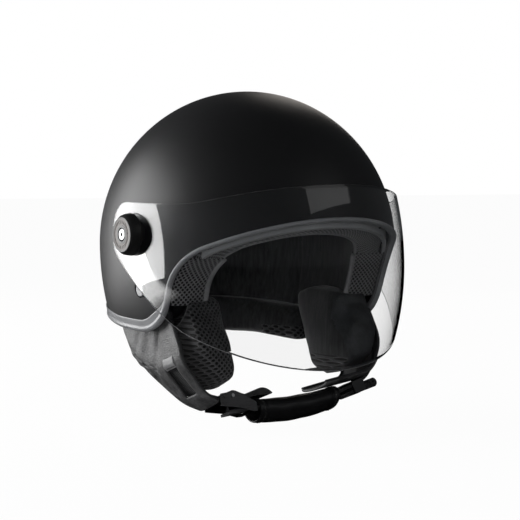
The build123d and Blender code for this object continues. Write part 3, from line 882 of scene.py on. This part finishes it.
def make_crown_lining():
    """Brushed inner lining, quilted along its seams."""
    azimuths, rings = rim_azimuths(260), 70
    lining = bowl("crown_fabric", azimuths, 29 * MM, 33 * MM, 7 * MM, rings)
    co = np.array([v.co for v in lining.data.vertices])
    normal = egg_normal(co, 31 * MM)
    azimuth = np.arctan2(co[:, 0], -co[:, 1])
    side_seams = np.minimum(1, np.abs(np.sin(azimuth * 3 + 0.4)) / 0.06)
    ring_seam = np.minimum(1, np.abs(co[:, 2] - 22 * MM) / (3 * MM))
    sunk = (1 - side_seams * ring_seam) * 1.8 * MM
    for vertex, place in zip(lining.data.vertices, co + normal * sunk[:, None]):
        vertex.co = place
    dress(lining, LINING)
    add_piece(lining, "shell", "lining_fabric", "crown_lining")


# (depth under the shell's face, inward of its edge) in mm
PAD_SECTION = [(12, 6.2), (11.6, 2.6), (13, 1.0), (18, 0.3), (24, 0.3), (30, 0.7), (33.6, 2.0), (34.2, 4.4),
               (33.8, 6.4)]
TEMPLE_SECTION = [(6, 6.2), (5.6, 2.6), (6.4, 0.9), (10, 0.1), (20, -0.2), (29, 0.0), (34, 0.6), (36, 2.4),
                  (36, 6.2)]
BORDER_SECTION = [(32.5, 0.6), (33.2, -0.7), (36.2, -0.7), (37.5, 0.8), (37.5, 3.5), (32.5, 3.5)]


def looped_grid(name, rows):
    """Sheet through rows of section points that each close on themselves."""
    rows = np.asarray(rows, float)
    return grid(name, np.concatenate([rows, rows[:, :1]], axis=1))


def closed_sweep(name, rows):
    """Closed form through rows of section points, with its ends filled."""
    return shade_smooth(weld(looped_grid(name, rows), fill=True))


def make_forehead_band():
    """Spacer mesh strip across the brow, with a grey binding on its inner edge."""
    reach = math.radians(61)
    azimuths = np.linspace(-reach, reach, 150)
    columns = []
    for inset, inward in PAD_SECTION:
        columns.append(egg_point(azimuths, edge_latitude(azimuths, inset * MM, inward * MM), inset * MM))
    band = closed_sweep("forehead_mesh", np.array(columns).transpose(1, 0, 2))
    dress(band, MESH)
    add_piece(band, "shell", "spacer_mesh", "forehead_band")
    line = egg_point(azimuths, edge_latitude(azimuths, 34 * MM, 2.0 * MM), 34 * MM)
    piping = dress(tube("brow_piping", line, 1.3 * MM), BORDER)
    add_piece(piping, "shell", "leatherette")


def side_strip(section, start_z, end_z, side):
    """Rows of section points along the front of the shell's side edge, between two heights."""
    chosen = EDGE[(EDGE[:, 1] < start_z) & (EDGE[:, 1] > end_z) & (EDGE[:, 0] < 0)]
    run = np.gradient(chosen, axis=0)
    run /= np.linalg.norm(run, axis=1, keepdims=True)
    inward_way = np.stack([-run[:, 1], run[:, 0]], 1)
    columns = []
    for inset, inward in section:
        half_width, half_length, top, low = egg_axes(inset * MM)
        place = chosen + inward_way * inward * MM
        height = np.where(place[:, 1] > 0, top, low)
        x = half_width * np.sqrt(1 - (place[:, 0] / half_length) ** 2 - (place[:, 1] / height) ** 2)
        columns.append(np.stack([side * x, place[:, 0], place[:, 1]], 1))
    return np.array(columns).transpose(1, 0, 2)


def make_temple_pads():
    for name, side in (("right", -1), ("left", 1)):
        rows = side_strip(TEMPLE_SECTION, -9 * MM, -47.5 * MM, side)
        pad = dress(closed_sweep(f"temple_mesh_{name}", rows), MESH)
        add_piece(pad, "shell", "spacer_mesh", f"temple_pad_{name}")
        border = side_strip(BORDER_SECTION, -10 * MM, -55 * MM, side)
        strip = dress(subdivide(closed_sweep(f"temple_border_{name}", border)), BORDER)
        add_piece(strip, "shell", "leatherette")


# ---------------------------------------------------------------- strap parts
def strap_point(x, depth, forward):
    """Point in the strap's plane, all in mm: X, distance below the rivets, distance forward."""
    lean_sin, lean_cos = math.sin(STRAP_LEAN), math.cos(STRAP_LEAN)
    return np.array([x * MM, RIVET_Y - depth * MM * lean_sin - forward * MM * lean_cos,
                     RIVET_Z - depth * MM * lean_cos + forward * MM * lean_sin])


def ribbon(name, route, radii, width, wall):
    """Flat webbing along a route in the strap's plane, given as (X, distance below the rivets) in mm."""
    crown, back = 0.25, 0.5
    line = rounded(route, radii, 1.2)
    run = np.gradient(line, axis=0)
    run /= np.linalg.norm(run, axis=1, keepdims=True)
    rows = []
    for (x, depth), (run_x, run_depth) in zip(line, run):
        row = []
        for share in np.linspace(-1, 1, 9):
            lift = crown * (1 - share ** 2)
            forward = share * width / 2 - back
            row.append(strap_point(x + run_depth * lift, depth - run_x * lift, forward))
        rows.append(row)
    return shade_smooth(soften(thicken(grid(name, rows), wall * MM, offset=0.0), 0.4 * MM))


def make_webbing():
    """The two straps, and the left one's tail with its end rolled up."""
    start = [(110.5, -11), (110.5, 9), (100.4, 23.5)]
    right = [(-x, depth) for x, depth in start] + [(-100.4, 67.6), (-83.1, 93.3), (-68.4, 97.8)]
    left = start + [(100.4, 70.0), (88.0, 91.4), (46.0, 104.6), (24.0, 108.0)]
    for name, route, radii in (("right", right, [7, 7, 21, 21]), ("left", left, [7, 7, 16, 30, 30])):
        web = dress(ribbon(f"webbing_{name}", route, radii, 22.4, 1.8), WEB)
        add_piece(web, f"strap_{name}", "webbing", f"strap_webbing_{name}")
    route = [(40.0, 108.4), (54.0, 107.6), (66.0, 103.9), (90.0, 96.9)]
    tail = ribbon("tail_ribbon", route, [10, 10], 20, 1.8)
    rolled, last_turn = [], 4.6 * math.pi
    for turn in np.linspace(0, last_turn, 90):
        radius = 1.2 + 2.7 * turn / last_turn
        rolled.append((92.0 + radius * math.cos(turn), 96.2 + radius * math.sin(turn)))
    rows = [[strap_point(x, depth, share * 10) for share in np.linspace(-1, 1, 5)] for x, depth in rolled]
    roll = thicken(grid("roll", rows), 1.0 * MM, offset=0.0)
    tail = dress(join("tail_ribbon", [tail, roll]), WEB)
    add_piece(tail, "strap_left", "webbing", "strap_tail")


# in mm: (Y, Z) corners and radii of the flap's back and front edges; its top edge and first row below the
# rivets; half the width of its window
FLAP_EDGES = (([(36, -60), (38, -71), (-44, -137)], [4]), ([(-43, -60), (-56, -80), (-66, -123)], [30]))
FLAP_TOP, FLAP_FIRST, WINDOW_HALF = 26, 28, 8


def flap_limits():
    """Angles about the rivets of the flap's back and front edges, against the distance from the rivets."""
    rivet = np.array([RIVET_Y, RIVET_Z]) / MM
    chains = []
    for corners, radii in FLAP_EDGES:
        line = rounded(corners, radii, 1.0) - rivet
        distance = np.linalg.norm(line, axis=1)
        angle = np.arctan2(-line[:, 0], -line[:, 1])
        order = distance.argsort()
        chains.append((distance[order], angle[order]))
    return chains


def make_flap(name, side, profile, window, wrinkles):
    """Leatherette ear flap, swept about the rivets.

    profile is its (X, distance from the rivets) line in mm, window the (start, end) distances of its slot,
    and each wrinkle has its (angle, width, tilt, height).
    """
    line = rounded(profile, [22, 22], 1.3)
    (back_r, back_angle), (front_r, front_angle) = flap_limits()
    counts = (26, 12, 8)  # points behind the window, across it and in front of it
    least = 0.02
    rows = []
    for x, radius in line:
        if radius < FLAP_FIRST:
            continue
        top_limit = math.acos(min(1, FLAP_TOP / radius))
        low = max(-top_limit, float(np.interp(radius, back_r, back_angle)))
        high = min(top_limit, float(np.interp(radius, front_r, front_angle)))
        half = math.asin(min(1, WINDOW_HALF / radius))
        marks = [low, max(low + least, STRAP_LEAN - half), min(high - least, STRAP_LEAN + half), high]
        angles = []
        for start, end, count in zip(marks, marks[1:], counts):
            angles += list(np.linspace(start, end, count, endpoint=False))
        rows.append([(x, radius, angle) for angle in angles + [high]])
    rows = np.array(rows)
    run = np.gradient(rows[:, :, :2], axis=0)
    run /= np.linalg.norm(run, axis=2, keepdims=True)
    outward = np.stack([run[..., 1], -run[..., 0]], -1)
    share = np.linspace(0, 1, rows.shape[1])[None, :]
    puffed = np.minimum(1, np.minimum(share, 1 - share) * 9)
    radius, angle = rows[..., 1], rows[..., 2]
    folds = np.zeros_like(radius)
    for centre, spread, tilt, height in wrinkles:
        folds += height * np.exp(-((angle - centre - tilt * (radius - 75) / 100) / spread) ** 2)
    lift = (0.5 + 0.9 * np.sin(puffed * math.pi / 2)) + folds * puffed
    x = rows[..., 0] + outward[..., 0] * lift
    radius = radius + outward[..., 1] * lift
    points = np.stack([side * x * MM, RIVET_Y - radius * MM * np.sin(angle),
                       RIVET_Z - radius * MM * np.cos(angle)], -1)
    depth = rows[:, 0, 1]

    def in_window(i, j):
        return (window[0] < depth[i] and depth[i + 1] < window[1]
                and counts[0] <= j < counts[0] + counts[1])

    flap = grid(f"flap_cover_{name}", points, skip=in_window, flip=side < 0)
    dress(shade_smooth(thicken(flap, 2.2 * MM, even=False)), SUEDE)
    add_piece(flap, f"strap_{name}", "leatherette", f"ear_flap_{name}")
    for label, edge in (("back", points[:, 0]), ("front", points[:, -1])):
        piping = dress(tube(f"flap_piping_{label}_{name}", edge, 1.1 * MM), DARK_PIPING)
        add_piece(piping, f"strap_{name}", "leatherette")
    inner = points[:, -4] if side < 0 else points[:, -3]
    seam = dress(stitches(f"flap_stitches_{name}", inner[6:], lambda p: (side, 0, 0)), THREAD)
    add_piece(seam, f"strap_{name}", "leatherette")


def make_flaps():
    right_folds = [(-0.35, 0.10, 0.2, 1.4), (-0.05, 0.07, -0.4, -1.2), (0.12, 0.06, 0.5, 1.0),
                   (-0.62, 0.12, 0.1, 1.2)]
    left_folds = [(-0.3, 0.12, 0.1, 1.2), (0.0, 0.1, -0.3, -1.0)]
    make_flap("right", -1, [(101.5, 24), (101.5, 68), (84, 94), (72.5, 100)], (66, 90.5), right_folds)
    make_flap("left", 1, [(101.5, 24), (101.5, 66), (91, 86), (38, 93)], (62, 84), left_folds)
    for name, side in (("right", -1), ("left", 1)):
        route = [(side * 103.2, 57.0), (side * 105.2, 60.0), (side * 105.2, 65.0), (side * 102.6, 68.6)]
        tab = dress(ribbon(f"loop_tab_{name}", route, [1.5, 1.5], 16, 1.4), BORDER)
        add_piece(tab, f"strap_{name}", "leatherette", f"flap_loop_{name}")


def make_sleeve():
    """Padded chin sleeve with a stitched band at each end; lengths are in mm."""
    stations, sides = 90, 40
    start, length, band_width = -33, 85, 7
    along = np.linspace(0, 1, stations)
    x = start + length * along
    fit = np.polyfit([-33.0, 12.0, 52.0], [109.3, 109.9, 104.6], 2)
    depth = np.polyval(fit, x)
    slope = np.polyval(np.polyder(fit), x)
    rows = []
    for k in range(stations):
        from_end = min(along[k], 1 - along[k]) * length
        band = 1.0 if from_end < band_width else 0.0
        groove = math.exp(-((from_end - 7.6) / 0.8) ** 2)
        round_off = max(0.0, 1 - from_end / 1.6) ** 2
        belly = 0.5 * math.sin(math.pi * along[k])
        tilt = math.atan(slope[k])
        row = []
        for n in range(sides):
            angle = 2 * math.pi * n / sides
            crease = 0.18 * math.sin(3 * angle + 21 * along[k]) * math.sin(math.pi * along[k])
            swell = 0.35 * band - 0.8 * groove - 0.9 * round_off + belly + crease
            wide = (12.7 + swell) * math.cos(angle)
            tall = (9.7 + swell) * math.sin(angle)
            row.append(strap_point(x[k] + tall * math.sin(tilt), depth[k] + tall * math.cos(tilt), wide))
        rows.append(row)
    rows = np.array(rows)

    def top_faces_up(bm):
        top = max(bm.faces, key=lambda f: f.calc_center_median().z)
        if top.normal.z < 0:
            bmesh.ops.reverse_faces(bm, faces=bm.faces)

    sleeve = weld(looped_grid("sleeve_cover", rows), then=top_faces_up)
    dress(shade_smooth(thicken(sleeve, 1.5 * MM)), SLEEVE)
    add_piece(sleeve, "strap_left", "sleeve_leatherette", "chin_sleeve")
    for label, station in (("near", 5), ("far", stations - 6)):
        ring = rows[station]
        centre = ring.mean(0)
        loop = np.vstack([ring, ring[:2]])
        seam = stitches(f"sleeve_stitches_{label}", loop,
                        lambda p: (p - centre) / np.linalg.norm(p - centre))
        add_piece(dress(seam, THREAD), "strap_left", "sleeve_leatherette")


# ---------------------------------------------------------------- finishes of the CAD pieces
NODE_LOOKS = {
    "eps_liner": FOAM, "brow_retainer": RETAINER, "visor_washers": WASHER, "visor_inserts": BRASS,
    "visor_knob_right": KNOB, "visor_knob_left": KNOB, "knob_ring_right": RING, "knob_ring_left": RING,
    "visor_screw_right": CHROME, "visor_screw_left": CHROME, "strap_rivets": RIVET, "rivet_burrs": STEEL,
    "buckle_frame": DARK_STEEL, "lever_pin": STEEL, "webbing_bar": DARK_STEEL, "buckle_lever": LEVER,
    "rack_pawl": STEEL, "toothed_rack": RACK, "rack_rivets": STEEL, "strap_slider": LEVER,
}


def dress_nodes():
    for name, material in NODE_LOOKS.items():
        dress(nodes[name], material)


make_camera()
make_surroundings()
make_shell()
make_trim()
make_visor()
make_crown_lining()
make_forehead_band()
make_temple_pads()
make_neck_roll()
make_cheek_pads()
make_webbing()
make_flaps()
make_sleeve()
dress_nodes()
